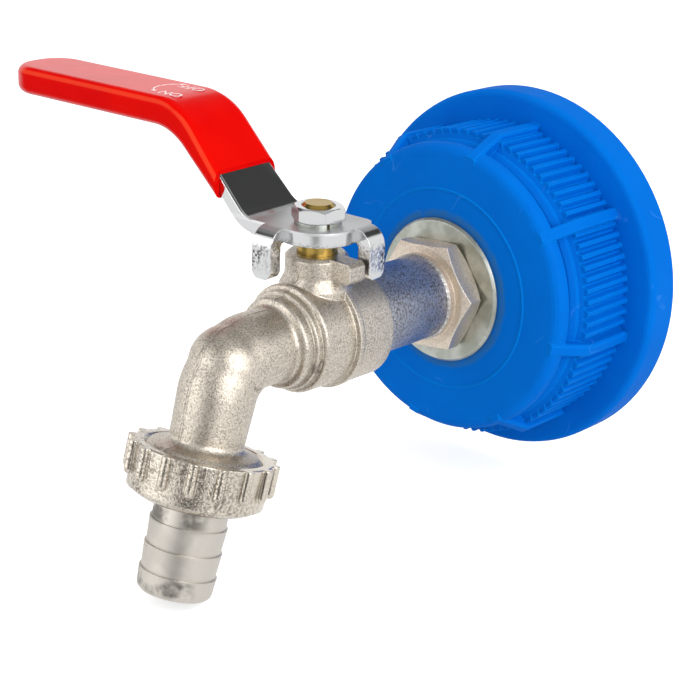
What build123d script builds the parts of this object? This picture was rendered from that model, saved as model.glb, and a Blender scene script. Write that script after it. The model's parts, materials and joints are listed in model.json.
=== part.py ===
"""Canister tap: a ball valve with a hose tail, carried by a screw cap.

The origin is the centre of the cap's open mouth. The cap's axis is Y: the canister is towards +Y and
the tap towards -Y. +Z is up, along the valve's stem. The lever is drawn as in the closed tap, across the
pipe towards -X and a few degrees short of its stop. All sizes are millimetres and degrees.
"""

import math
import os

from build123d import *

# Clearances
THREAD_GAP = 0.05  # radial, between a male thread and the hole that it screws into
HOLE_GAP = 0.15  # radial, between a thread and a plain hole that it passes through
SHAFT_GAP = 0.05  # radial, stem in its neck
FACE_GAP = 0.05  # between flat faces that slide on each other
SOCKET_GAP = 0.1  # between a fixed piece and the recess that it sits in
SLOT_GAP = 0.3  # tang in the ball's slot, both sides together
BALL_GAP = 0.3  # between the ball and its seats
PASS_GAP = 0.3  # between a turning piece and a wall that it only passes
PAST = 1.0  # how far a cut runs past the face that it opens

# Edge roundings
EDGE = 0.3  # machined edges
SOFT_EDGE = 0.6  # rubber, and the pressed front washer
HEX_BITE = 0.15  # from a hexagon's flats in to its chamfered face
HEX_CHAMFER = 30.0
ROUND_SAG = 0.06  # how far the flats of a turned rounding may leave its arc

# Threads, as the outside radius of the male thread
PIPE_THREAD_R = 20.96 / 2  # G 1/2, connector through the cap
UNION_THREAD_R = 26.44 / 2  # G 3/4, spout end and union nut
STEM_THREAD_R = 7.8 / 2  # M8, stem's top end

# Screw cap, depths from its front face
CAP_DEPTH = 34.6  # to the open mouth
CAP_FACE_R = 37.0  # rounded front disc
CAP_FACE_EDGE = 2.6
CAP_DISC_T = 4.2
CAP_GROOVE_R = 34.8
CAP_GROOVE_W = 1.4
CAP_SHOULDER_EDGE = 1.2
CAP_BAND_R = 38.3  # foot of the collar's ribs
CAP_BAND_START = 8.0
RIB_H = 1.3
RIB_PITCHES = 88
RIB_SHARES = ((0.0, 0.0), (0.26, 1.0), (0.58, 1.0), (0.84, 0.0))  # share of a pitch, share of the height
CAP_RIM_R = 47.2
CAP_RIM_T = 10.3
CAP_RIM_EDGE = 1.6
RIM_STEP = 0.5  # small step round the rim, near the mouth
RIM_STEP_DEPTH = 1.3
CAP_WALL = 3.8  # front wall, where the tap is clamped
CAP_NECK_R = 32.6  # plain recess for the gasket and the neck's lip
CAP_NECK_T = 11.4
CAP_THREAD_R = 34.6  # hole for the canister's thread
CAP_LINE_R = 25.7  # fine raised ring on the front face
CAP_LINE_H = 0.2

# Lugs of the cap, each a ramp from the front disc and then a rail along the collar
LUGS = 8
LUG_W = 3.2
LUG_TIP_R = 36.0
LUG_PROUD = 0.15  # ramp's tip in front of the face
LUG_R = 41.2
LUG_RAMP = 9.0
LUG_BEND_R = 2.0
LUG_EDGE = 0.5
LUG_TO_RIM = 0.0
LUG_TURN = 34.0  # angle of the first lug above +X

# Gasket
GASKET_T = 4.0
GASKET_IN_R = 25.0

# Connector and what clamps the cap
WASHER_R = 18.5
WASHER_T = 1.5
HEX_FLATS = 26.0
HEX_T = 6.1
HEX_TURN = 5.0
SHANK_LEN = 25.4  # from the valve's barrel to the hexagon
BOSS_R = 10.9
BOSS_T = 1.8
THREAD_END_EDGE = 1.0
BORE_FLARE = 1.1
SEAL_T = 2.5
REAR_WASHER_R = 16.0
REAR_NUT_FLATS = 27.0
REAR_NUT_T = 6.0
THREAD_RUN_OUT = 2.4  # thread past the rear nut

# Valve body, distances along the pipe from the stem's axis
FLOW_R = 6.25
CHAMBER_R = 10.2
CHAMBER_MOUTH = 7.5  # to where the connector's thread begins
SEAT_OUT = 8.4  # to the seats' outer faces
SEAT_T = 2.9
BARREL_R = 13.8
BARREL_LEN = 13.0  # to the barrel's inlet end
BARREL_EDGE = 0.7
BEAD_MIDDLE = 1.5  # to the fine bead round the barrel's spout end
BEAD_W = 1.4
BEAD_H = 0.25
BODY_R = 12.9
BODY_FRONT = 9.3  # to the step at the spout side
BODY_EDGE = 0.8
STEP_R = 11.7
STEP_T = 1.8
END_RING_R = 10.8
END_RING_T = 2.9
END_RING_EDGE = 1.0
NECK_R = 7.4
NECK_TOP = 19.2
NECK_FLARE = 1.2
NECK_EDGE = 0.8
STOP_REACH = 12.7
STOP_HALF_W = 2.5
STOP_LOW = 14.4
STOP_CHAMFER = 0.9

# Spout, stations S along its axis from where the pipe and spout axes meet
SPOUT_REACH = 28.85  # stem axis to that meeting point
SPOUT_LEAN = 16.05  # forward of straight down
BEND_R = 11.0
LEG_R = 8.8
ELBOW_R = 8.95
ELBOW_CORNER = 7.3  # outer corner, from the point where the axes meet
SPOUT_R = 8.55
COLLAR_S = 21.2
COLLAR_SLOPE = 1.6
COLLAR_CHAMFER = 0.9
SPOUT_END_S = 27.0
SPOUT_MOUTH_FLARE = 1.7

# Union nut
NUT_TOP_S = 20.9
NUT_R = 16.1
NUT_FOOT_R = 15.6
NUT_FOOT_EDGE = 3.9
NUT_LIP_T = 1.8
NUT_MOUTH_CHAMFER = 0.7
NUT_RIBS = 16
NUT_RIB_W = 2.4
NUT_RIB_R = 17.4
NUT_RIB_LEN = 7.8
NUT_RIB_SLOPES = ((1.0, 0.0), (0.8, 0.6), (0.35, 0.92), (0.0, 1.0))  # end, shares of the rib's radius
NUT_RIB_TURN = 6.3

# Seal and hose tail
UNION_SEAL_T = 2.0
TAIL_FLANGE_R = 12.6
TAIL_FLANGE_T = 2.2
TAIL_R = 8.55
TAIL_WALL = 1.95
FIRST_BARB_S = 37.7
BARB_PITCH = 5.83
BARB_H = 0.4
BARBS = 3
TAIL_END_S = 54.6
TAIL_END_SHARE = 0.77  # rounding at the tail's end, as a share of its wall

# Ball and stem
BALL_R = 9.6
BALL_BORE_R = 6.1
STEM_R = 4.7
STEM_FLANGE_R = 6.2
STEM_FLANGE_T = 1.8
THRUST_T = 0.8
TANG_T = 4.0
TANG_LEN = 9.0
TANG_DEEP = 3.0
GROOVE_W = 1.9
GROOVE_DEPTH = 1.2
GROOVE_SHARES = (0.28, 0.72)  # grooves' centres, as shares of the neck's bore
O_RING_SIDES = 8
O_RING_NIP = 0.03  # O-ring short of its groove's floor and of the groove's mouth
STEM_FLATS = 5.6
STEM_TOP = 30.9
STEM_TIP_CHAMFER = 0.7

# Lever, in a frame with its arm towards -X and its heights above the pipe's axis
LEVER_TURN = 4.0  # short of the closed stop
PLATE_T = 3.4
PLATE_LOW = 22.6  # underside of the hub
PLATE_EDGE = 0.4
ARM_W = 15.4  # level grip
ARM_ROOT_NEAR = 8.8  # edges at the hub, either side of the stem
ARM_ROOT_FAR = 10.0
TAPER_START = 15.0
TAPER_END = 40.0
TAPER_BLEND_R = 30.0
ARM_ROOT = 4.0  # arm's inner end, within the hub
ARM_RISE = 45.0
ARM_REACH = 94.0
KNEE_X = 15.1
KNEE_BEND_R = 8.0
GRIP_H = 46.1  # middle of the grip's plate
GRIP_BEND_R = 13.0
TIP_R = 6.5
HUB_R = 9.1  # hub's edge between the stop tabs
HUB_HALF_W = 10.7
HUB_FLAT = 6.0  # straight far side, either way from the stem
HUB_NECK_X = 12.5
HUB_CORNER_BULGE = 0.17  # of the corner's arc, as a share of its chord
TAB_SIDE = 2.6  # from the hub's centre line to a stop tab's near edge
TAB_W = 5.6
TAB_INNER = 9.9  # stem axis to a tab's inner face
TAB_FOOT = 14.2
TAB_BEND_R = 1.0
TAB_CORNER_R = 2.3
TAB_OVERLAP = 0.5

# Sleeve, spring washer and nut of the lever
SLEEVE_WALL = 1.8
SLEEVE_START = 22.8
SLEEVE_EDGE = 2.2
SLEEVE_UNDER_BEND_R = 16.0
SLEEVE_TOP_BEND_R = 16.5
LOCK_WASHER_R = 5.5
LOCK_WASHER_T = 0.8
SPLIT_W = 0.7
SPLIT_TURN = -25.0
LEVER_NUT_FLATS = 11.0
LEVER_NUT_T = 3.5

# Stations along Y
FACE_Y = -CAP_DEPTH
FLOOR_Y = FACE_Y + CAP_WALL
WASHER_Y = FACE_Y - WASHER_T
HEX_Y = WASHER_Y - HEX_T
BARREL_Y = HEX_Y - SHANK_LEN
STEM_Y = BARREL_Y - BARREL_LEN
SPOUT_Y = STEM_Y - SPOUT_REACH
REAR_SEAL_Y = FLOOR_Y + SEAL_T
REAR_WASHER_Y = REAR_SEAL_Y + WASHER_T
REAR_NUT_Y = REAR_WASHER_Y + REAR_NUT_T

# Heights above the pipe's axis, at the stem
FLANGE_LOW = CHAMBER_R + SOCKET_GAP
FLANGE_TOP = FLANGE_LOW + STEM_FLANGE_T
RECESS_TOP = FLANGE_TOP + THRUST_T
PLATE_TOP = PLATE_LOW + PLATE_T
PLATE_MIDDLE = PLATE_LOW + PLATE_T / 2
NUT_LOW = PLATE_TOP + LOCK_WASHER_T

# Stations along the spout
TAIL_BORE_R = TAIL_R - TAIL_WALL
BARB_R = TAIL_R + BARB_H
TAIL_TOP_S = SPOUT_END_S + UNION_SEAL_T
TAIL_FLANGE_S = TAIL_TOP_S + TAIL_FLANGE_T
NUT_LIP_S = TAIL_FLANGE_S + FACE_GAP
NUT_BOTTOM_S = NUT_LIP_S + NUT_LIP_T
ELBOW_TANGENT = BEND_R * math.tan(math.radians(90 - SPOUT_LEAN) / 2)
ELBOW_Y = SPOUT_Y + ELBOW_TANGENT

LEAN = math.radians(SPOUT_LEAN)
SPOUT_DIR = (0, -math.sin(LEAN), -math.cos(LEAN))
AT_STEM = Pos(0, STEM_Y, 0)
AT_LEVER = AT_STEM * Rot(0, 0, LEVER_TURN)
AT_SPOUT = Plane(origin=(0, SPOUT_Y, 0), x_dir=(1, 0, 0), z_dir=SPOUT_DIR).location
ALONG_Y = Plane(origin=(0, 0, 0), x_dir=(1, 0, 0), z_dir=(0, 1, 0)).location


def rounding(here, before, after, radius):
    """Points of a rounded corner between two directions, as flats that leave the arc by ROUND_SAG at most."""
    half = before.get_angle(after) / 2
    middle = (before + after).normalized()
    centre = here + middle * (radius / math.sin(math.radians(half)))
    turn = math.radians(90 - half)
    flats = math.ceil(turn / math.acos(1 - ROUND_SAG / radius))
    side = (before - after).normalized()
    points = []
    for k in range(flats + 1):
        angle = turn * (1 - 2 * k / flats)
        points.append(centre + (side * math.sin(angle) - middle * math.cos(angle)) * radius)
    return points


def turned(*corners):
    """Solid of revolution about Z from corners (radius, height[, edge]).

    An edge above zero is a rounding's radius. Below zero it is a chamfer's size along each side.
    """
    points = []
    spots = [Vector(corner[0], 0, corner[1]) for corner in corners]
    for k, corner in enumerate(corners):
        here = spots[k]
        edge = corner[2] if len(corner) > 2 else 0
        before = (spots[k - 1] - here).normalized()
        after = (spots[(k + 1) % len(spots)] - here).normalized()
        if edge > 0:
            points += rounding(here, before, after, edge)
        elif edge < 0:
            points += [here - before * edge, here - after * edge]
        else:
            points.append(here)
    return revolve(make_face(Polyline(*points, close=True)), Axis.Z)


def turned_along_y(*corners):
    """The same about Y, from corners (radius, station along Y[, edge])."""
    return ALONG_Y * turned(*corners)


def ring(inner, outer, low, high, edge=0.0):
    """Flat ring about Z, with its outer edges rounded or chamfered."""
    return turned((inner, low), (outer, low, edge), (outer, high, edge), (inner, high))


def rod(radius, low, high):
    """Plain cylinder about Z between two heights."""
    return turned((0, low), (radius, low), (radius, high), (0, high))


def hexagon(flats, low, high, turn=0.0):
    """Hexagonal bar about Z with both ends chamfered to a circle."""
    corner_r = flats / math.sqrt(3)
    bar = extrude(Pos(0, 0, low) * Rot(0, 0, turn) * RegularPolygon(corner_r, 6), high - low)
    face_r = flats / 2 - HEX_BITE
    drop = (corner_r - face_r) * math.tan(math.radians(HEX_CHAMFER))
    envelope = turned(
        (0, low), (face_r, low), (corner_r, low + drop), (corner_r, high - drop), (face_r, high), (0, high)
    )
    return bar & envelope


# Screw cap and its gasket


def cap_ribs():
    """Ring of fine grip ribs on the collar, each a blunt wedge."""
    pitch = 2 * math.pi / RIB_PITCHES
    points = []
    for k in range(RIB_PITCHES):
        for along, up in RIB_SHARES:
            angle = (k + along) * pitch
            radius = CAP_BAND_R + up * RIB_H
            points.append((radius * math.cos(angle), radius * math.sin(angle)))
    start = FACE_Y + CAP_BAND_START
    into_rim = CAP_RIM_EDGE / 2
    band = extrude(make_face(Polyline(*points, close=True)), -CAP_RIM_T + into_rim - start)
    return ALONG_Y * Pos(0, 0, start) * band


def cap_lug():
    """One lug, standing at +X, with its outer edges chamfered."""
    tip = FACE_Y - LUG_PROUD
    rail_end = -CAP_RIM_T - LUG_TO_RIM
    foot_r = CAP_GROOVE_R
    foot_y = FACE_Y + CAP_DISC_T / 2
    outline = FilletPolyline(
        (foot_r - CAP_FACE_EDGE, foot_y), (foot_r, tip), (LUG_TIP_R, tip), (LUG_R, FACE_Y + LUG_RAMP),
        (LUG_R, rail_end), (foot_r, rail_end),
        radius=[0, 0, 0, LUG_BEND_R, 0, 0], close=True,
    )
    lug = extrude(make_face(outline), LUG_W / 2, both=True)
    outer = lug.edges().filter_by(lambda edge: abs(edge.center().Z) > LUG_W / 4).filter_by(
        lambda edge: edge.center().X > LUG_TIP_R
    )
    return chamfer(outer, LUG_EDGE)


def cap_outside():
    groove_y = FACE_Y + CAP_DISC_T
    shoulder_y = groove_y + CAP_GROOVE_W
    band_y = FACE_Y + CAP_BAND_START
    rim_y = -CAP_RIM_T
    step_y = -RIM_STEP_DEPTH
    return turned_along_y(
        (0, FACE_Y), (CAP_FACE_R, FACE_Y, CAP_FACE_EDGE), (CAP_FACE_R, groove_y, -SOFT_EDGE),
        (CAP_GROOVE_R, groove_y), (CAP_GROOVE_R, shoulder_y), (CAP_FACE_R, shoulder_y, -CAP_SHOULDER_EDGE),
        (CAP_FACE_R, band_y - SOFT_EDGE), (CAP_BAND_R, band_y), (CAP_BAND_R, rim_y),
        (CAP_RIM_R, rim_y, CAP_RIM_EDGE), (CAP_RIM_R, step_y),
        (CAP_RIM_R - RIM_STEP, step_y), (CAP_RIM_R - 2 * RIM_STEP, 0), (0, 0),
    )


def cap_line():
    """Fine raised ring on the cap's front face."""
    return turned_along_y(
        (CAP_LINE_R - 2 * CAP_LINE_H, FACE_Y + CAP_LINE_H), (CAP_LINE_R - CAP_LINE_H, FACE_Y - CAP_LINE_H),
        (CAP_LINE_R + CAP_LINE_H, FACE_Y - CAP_LINE_H), (CAP_LINE_R + 2 * CAP_LINE_H, FACE_Y + CAP_LINE_H),
    )


def screw_cap():
    body = cap_outside() + cap_ribs() + cap_line()
    lug = cap_lug()
    for k in range(LUGS):
        body += Rot(0, -(LUG_TURN + k * 360 / LUGS), 0) * lug
    neck_y = FLOOR_Y + CAP_NECK_T
    thread_y = neck_y + CAP_THREAD_R - CAP_NECK_R
    hollow = turned_along_y(
        (0, FLOOR_Y), (CAP_NECK_R, FLOOR_Y), (CAP_NECK_R, neck_y), (CAP_THREAD_R, thread_y),
        (CAP_THREAD_R, PAST), (0, PAST),
    )
    hole = ALONG_Y * rod(PIPE_THREAD_R + HOLE_GAP, FACE_Y - PAST, FLOOR_Y + PAST)
    return body - hollow - hole


def cap_gasket():
    return ALONG_Y * ring(GASKET_IN_R, CAP_NECK_R - SOCKET_GAP, FLOOR_Y, FLOOR_Y + GASKET_T)


# Connector and the pieces that clamp it to the cap


def front_washer():
    return ALONG_Y * ring(PIPE_THREAD_R + HOLE_GAP, WASHER_R, WASHER_Y, FACE_Y, -SOFT_EDGE)


def inlet_connector():
    """Spigot in the barrel, plain shank, boss, hexagon and pipe thread in one piece."""
    inner_end = STEM_Y + SEAT_OUT
    outer_end = REAR_NUT_Y + THREAD_RUN_OUT
    boss_y = HEX_Y - BOSS_T
    proud = BOSS_R - PIPE_THREAD_R
    shaft = turned_along_y(
        (0, inner_end), (PIPE_THREAD_R, inner_end), (PIPE_THREAD_R, boss_y - proud), (BOSS_R, boss_y),
        (BOSS_R, HEX_Y + PAST), (PIPE_THREAD_R, HEX_Y + PAST), (PIPE_THREAD_R, outer_end, -THREAD_END_EDGE),
        (0, outer_end),
    )
    bore = turned_along_y(
        (0, inner_end - PAST), (FLOW_R, inner_end - PAST), (FLOW_R, outer_end - BORE_FLARE),
        (FLOW_R + BORE_FLARE, outer_end), (FLOW_R + BORE_FLARE, outer_end + PAST), (0, outer_end + PAST),
    )
    head = ALONG_Y * hexagon(HEX_FLATS, HEX_Y, WASHER_Y, -HEX_TURN)
    return shaft + head - bore


def rear_seal():
    return ALONG_Y * ring(PIPE_THREAD_R + HOLE_GAP, REAR_WASHER_R, FLOOR_Y, REAR_SEAL_Y)


def rear_washer():
    return ALONG_Y * ring(PIPE_THREAD_R + HOLE_GAP, REAR_WASHER_R, REAR_SEAL_Y, REAR_WASHER_Y, -EDGE)


def rear_nut():
    nut = hexagon(REAR_NUT_FLATS, REAR_WASHER_Y, REAR_NUT_Y)
    return ALONG_Y * (nut - rod(PIPE_THREAD_R + THREAD_GAP, REAR_WASHER_Y - PAST, REAR_NUT_Y + PAST))


# Valve body with its elbow


def elbow(radius):
    """Torus segment that turns from the pipe's axis to the spout's."""
    start = Plane(origin=(0, ELBOW_Y, 0), x_dir=(1, 0, 0), z_dir=(0, -1, 0))
    axis = Axis((0, ELBOW_Y, -BEND_R), (1, 0, 0))
    return revolve(start * Circle(radius), axis, 90 - SPOUT_LEAN)


def body_barrel():
    """Barrel and the stepped leg that runs to the elbow."""
    bead_end = STEM_Y + BEAD_MIDDLE + BEAD_W / 2
    bead_start = bead_end - BEAD_W
    step_y = STEM_Y - BODY_FRONT
    ring_y = step_y - STEP_T
    leg_y = ring_y - END_RING_T
    return turned_along_y(
        (0, BARREL_Y), (BARREL_R, BARREL_Y, -BARREL_EDGE), (BARREL_R, bead_end + BEAD_H),
        (BARREL_R + BEAD_H, bead_end), (BARREL_R + BEAD_H, bead_start), (BODY_R, bead_start - BEAD_H),
        (BODY_R, step_y, BODY_EDGE), (STEP_R, step_y), (STEP_R, ring_y, -EDGE), (END_RING_R, ring_y),
        (END_RING_R, leg_y, END_RING_EDGE), (LEG_R, leg_y, END_RING_EDGE), (ELBOW_R, ELBOW_Y), (0, ELBOW_Y),
    )


def body_neck():
    """Neck round the stem, with the lug that the lever's tabs meet."""
    foot_r = NECK_R + NECK_FLARE
    neck = turned(
        (0, 0), (foot_r, 0), (foot_r, BODY_R - NECK_FLARE), (NECK_R, BODY_R + NECK_FLARE, NECK_FLARE),
        (NECK_R, NECK_TOP, -NECK_EDGE), (0, NECK_TOP),
    )
    height = NECK_TOP - STOP_LOW
    stop = Pos(STOP_REACH / 2, 0, STOP_LOW + height / 2) * Box(STOP_REACH, 2 * STOP_HALF_W, height)
    stop = chamfer(stop.edges().filter_by(Axis.Y).group_by(Axis.X)[-1], STOP_CHAMFER)
    return AT_STEM * (neck + stop)


def body_spout():
    """Spout below the elbow, with the collar for the union's thread."""
    root_s = COLLAR_S - COLLAR_CHAMFER
    return AT_SPOUT * turned(
        (0, ELBOW_TANGENT), (ELBOW_R, ELBOW_TANGENT), (SPOUT_R, COLLAR_S - COLLAR_SLOPE, COLLAR_SLOPE),
        (UNION_THREAD_R - COLLAR_CHAMFER, root_s + EDGE), (UNION_THREAD_R, COLLAR_S + EDGE),
        (UNION_THREAD_R, SPOUT_END_S, -SOFT_EDGE), (0, SPOUT_END_S),
    )


def body_hollow():
    """Ball chamber, flow passage and the stem's hole."""
    floor_y = STEM_Y - SEAT_OUT
    mouth_y = STEM_Y + CHAMBER_MOUTH
    thread_r = PIPE_THREAD_R + THREAD_GAP
    chamber = turned_along_y(
        (0, floor_y), (CHAMBER_R, floor_y), (CHAMBER_R, mouth_y), (thread_r, mouth_y),
        (thread_r, BARREL_Y + PAST), (0, BARREL_Y + PAST),
    )
    leg = ALONG_Y * rod(FLOW_R, ELBOW_Y, floor_y + PAST)
    drop = AT_SPOUT * turned(
        (0, ELBOW_TANGENT), (FLOW_R, ELBOW_TANGENT), (FLOW_R, SPOUT_END_S - SPOUT_MOUTH_FLARE),
        (FLOW_R + SPOUT_MOUTH_FLARE, SPOUT_END_S), (FLOW_R + SPOUT_MOUTH_FLARE, SPOUT_END_S + PAST),
        (0, SPOUT_END_S + PAST),
    )
    recess_r = STEM_FLANGE_R + PASS_GAP
    neck_bore = rod(STEM_R + SHAFT_GAP, 0, NECK_TOP + PAST)
    return chamber + leg + elbow(FLOW_R) + drop + AT_STEM * (rod(recess_r, 0, RECESS_TOP) + neck_bore)


def elbow_corner():
    """Fuller outer corner of the elbow."""
    turn = math.radians(90 - SPOUT_LEAN)
    back = ELBOW_R - ELBOW_CORNER
    across = turn / 2 + LEAN
    return Pos(0, SPOUT_Y + back * math.cos(across), -back * math.sin(across)) * Sphere(ELBOW_R)


def valve_body():
    return body_barrel() + body_neck() + elbow(ELBOW_R) + elbow_corner() + body_spout() - body_hollow()


# Ball, seats and stem


def ball():
    """Ball with its bore across the pipe and the stem's slot along it, as in the closed tap."""
    through = 2 * (BALL_R + PAST)
    bore = Rot(0, 90, 0) * Cylinder(BALL_BORE_R, through)
    slot_floor = FLANGE_LOW - TANG_DEEP - SLOT_GAP
    slot = Pos(0, 0, slot_floor + BALL_R / 2) * Box(TANG_T + SLOT_GAP, through, BALL_R)
    return AT_LEVER * (Sphere(BALL_R) - bore - slot)


def seat(side):
    """Ring with a hollow face that fits the ball. side is +1 at the inlet and -1 at the outlet."""
    inner = SEAT_OUT - SEAT_T
    blank = turned(
        (FLOW_R, inner), (CHAMBER_R - SOCKET_GAP, inner, -EDGE), (CHAMBER_R - SOCKET_GAP, SEAT_OUT),
        (FLOW_R, SEAT_OUT),
    )
    return AT_STEM * Rot(-90 * side, 0, 0) * (blank - Sphere(BALL_R + BALL_GAP))


def groove_centre(k):
    return RECESS_TOP + (NECK_TOP - RECESS_TOP) * GROOVE_SHARES[k]


def stem():
    """Stem with its flange, O-ring grooves, flats for the lever, threaded end and tang."""
    root_r = STEM_R - GROOVE_DEPTH
    shoulder = PLATE_LOW - FACE_GAP
    shaft = [(0, FLANGE_LOW), (STEM_FLANGE_R, FLANGE_LOW), (STEM_FLANGE_R, FLANGE_TOP), (STEM_R, FLANGE_TOP)]
    for k in range(len(GROOVE_SHARES)):
        low = groove_centre(k) - GROOVE_W / 2
        high = low + GROOVE_W
        shaft += [(STEM_R, low), (root_r, low), (root_r, high), (STEM_R, high)]
    shaft += [
        (STEM_R, shoulder, -EDGE), (STEM_THREAD_R, shoulder), (STEM_THREAD_R, STEM_TOP - STEM_TIP_CHAMFER),
        (STEM_THREAD_R - STEM_TIP_CHAMFER, STEM_TOP), (0, STEM_TOP),
    ]
    tang = Pos(0, 0, FLANGE_LOW - TANG_DEEP / 2) * Box(TANG_T, TANG_LEN, TANG_DEEP)
    flats = rod(STEM_R, shoulder, PLATE_TOP) - Box(2 * (STEM_R + PAST), STEM_FLATS, 2 * (PLATE_TOP + PAST))
    return AT_LEVER * (turned(*shaft) + tang - flats)


def thrust_washer():
    return AT_STEM * ring(STEM_R + SHAFT_GAP, STEM_FLANGE_R, FLANGE_TOP + FACE_GAP, RECESS_TOP)


def o_ring(k):
    """O-ring in its groove. Its section has eight sides, which keeps its mesh light."""
    section_r = GROOVE_DEPTH / 2 - O_RING_NIP
    at_middle = Pos(STEM_R - GROOVE_DEPTH / 2, 0, groove_centre(k)) * Rot(90, 0, 0)
    return AT_STEM * revolve(at_middle * RegularPolygon(section_r, O_RING_SIDES), Axis.Z)


# Lever: one plate with a hub, two tabs bent down from it and an arm that rises to a level grip


def arm_path(reach):
    """Middle line of the lever's arm in its XZ plane, out to the given reach."""
    rise = (GRIP_H - PLATE_MIDDLE) / math.tan(math.radians(ARM_RISE))
    return FilletPolyline(
        (-ARM_ROOT, 0, PLATE_MIDDLE), (-KNEE_X, 0, PLATE_MIDDLE), (-KNEE_X - rise, 0, GRIP_H),
        (-reach, 0, GRIP_H), radius=[KNEE_BEND_R, GRIP_BEND_R],
    )


def arm_plan(grow):
    """Outline of the arm from above, widened by grow: it narrows from the hub to the level grip."""
    half = ARM_W / 2 + grow
    tip_x = -ARM_REACH - grow
    far = ARM_ROOT_FAR + grow
    near = ARM_ROOT_NEAR + grow
    tip_r = TIP_R + grow
    outline = FilletPolyline(
        (-ARM_ROOT, far), (-TAPER_START, far), (-TAPER_END, half), (tip_x, half),
        (tip_x, -half), (-TAPER_END, -half), (-TAPER_START, -near), (-ARM_ROOT, -near),
        radius=[0, TAPER_BLEND_R, TAPER_BLEND_R, tip_r, tip_r, TAPER_BLEND_R, TAPER_BLEND_R, 0], close=True,
    )
    return make_face(outline)


def arm_bar(grow):
    """The arm's bar, grown all round, with sharp edges."""
    start = Plane(origin=(-ARM_ROOT, 0, PLATE_MIDDLE), x_dir=(0, 1, 0), z_dir=(-1, 0, 0))
    section = start * Rectangle(2 * (HUB_HALF_W + grow + PAST), PLATE_T + 2 * grow)
    strip = sweep(section, path=arm_path(ARM_REACH + grow + PAST))
    return strip & extrude(arm_plan(grow), 2 * GRIP_H)


def long_edges(bar):
    """Edges along both sides of the bar and round its tip."""
    box = bar.bounding_box()
    along = bar.edges().filter_by(Axis.Z, reverse=True).filter_by(Axis.Y, reverse=True)
    across = bar.edges().filter_by(Axis.Y).filter_by(lambda line: line.center().X < box.min.X + EDGE)
    return along + across


def hub_plate():
    """Flat hub of the lever: an arc about the stem between the tabs, and a straight far side."""
    tab_end = TAB_SIDE + TAB_W
    arc_x = math.sqrt(HUB_R**2 - TAB_SIDE**2)
    half = HUB_R * math.sin(math.pi / 4)
    corner = (
        (HUB_FLAT + arc_x) / 2 + (HUB_HALF_W - tab_end) * HUB_CORNER_BULGE,
        (HUB_HALF_W + tab_end) / 2 + (arc_x - HUB_FLAT) * HUB_CORNER_BULGE,
    )
    edge = (
        Line((-HUB_NECK_X, -ARM_ROOT_NEAR), (-tab_end, -arc_x))
        + Line((-tab_end, -arc_x), (-TAB_SIDE, -arc_x))
        + ThreePointArc((-TAB_SIDE, -arc_x), (half, -half), (arc_x, TAB_SIDE))
        + Line((arc_x, TAB_SIDE), (arc_x, tab_end))
        + ThreePointArc((arc_x, tab_end), corner, (HUB_FLAT, HUB_HALF_W))
        + Line((HUB_FLAT, HUB_HALF_W), (-HUB_FLAT, HUB_HALF_W))
        + Line((-HUB_FLAT, HUB_HALF_W), (-HUB_NECK_X, ARM_ROOT_FAR))
        + Line((-HUB_NECK_X, ARM_ROOT_FAR), (-HUB_NECK_X, -ARM_ROOT_NEAR))
    )
    return Pos(0, 0, PLATE_LOW) * extrude(make_face(edge), PLATE_T)


def stop_tab():
    """Tab at the end of the hub, bent down beside the stem's neck. It stands at +X."""
    root = math.sqrt(HUB_R**2 - TAB_SIDE**2) - TAB_OVERLAP
    outer = TAB_INNER + PLATE_T
    bent = FilletPolyline(
        (root, 0, PLATE_LOW), (TAB_INNER, 0, PLATE_LOW), (TAB_INNER, 0, TAB_FOOT), (outer, 0, TAB_FOOT),
        (outer, 0, PLATE_TOP), (root, 0, PLATE_TOP),
        radius=[0, TAB_BEND_R, EDGE, EDGE, TAB_BEND_R + PLATE_T, 0], close=True,
    )
    front = FilletPolyline(
        (0, -TAB_W / 2, TAB_FOOT), (0, TAB_W / 2, TAB_FOOT), (0, TAB_W / 2, PLATE_TOP),
        (0, -TAB_W / 2, PLATE_TOP), radius=[TAB_CORNER_R, TAB_CORNER_R, 0, 0], close=True,
    )
    blade = extrude(make_face(bent), TAB_W / 2, both=True) & extrude(make_face(front), 2 * outer, both=True)
    return Pos(0, TAB_SIDE + TAB_W / 2, 0) * blade


def lever():
    bar = arm_bar(0)
    arm = chamfer(long_edges(bar), PLATE_EDGE)
    solid = hub_plate() + arm + stop_tab() + Rot(0, 0, -90) * mirror(stop_tab(), Plane.XZ)
    hole = Circle(STEM_THREAD_R + THREAD_GAP) & Rectangle(2 * STEM_R, STEM_FLATS + 2 * THREAD_GAP)
    solid -= Pos(0, 0, PLATE_LOW - PAST) * extrude(hole, PLATE_T + 2 * PAST)
    return AT_LEVER * solid


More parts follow.
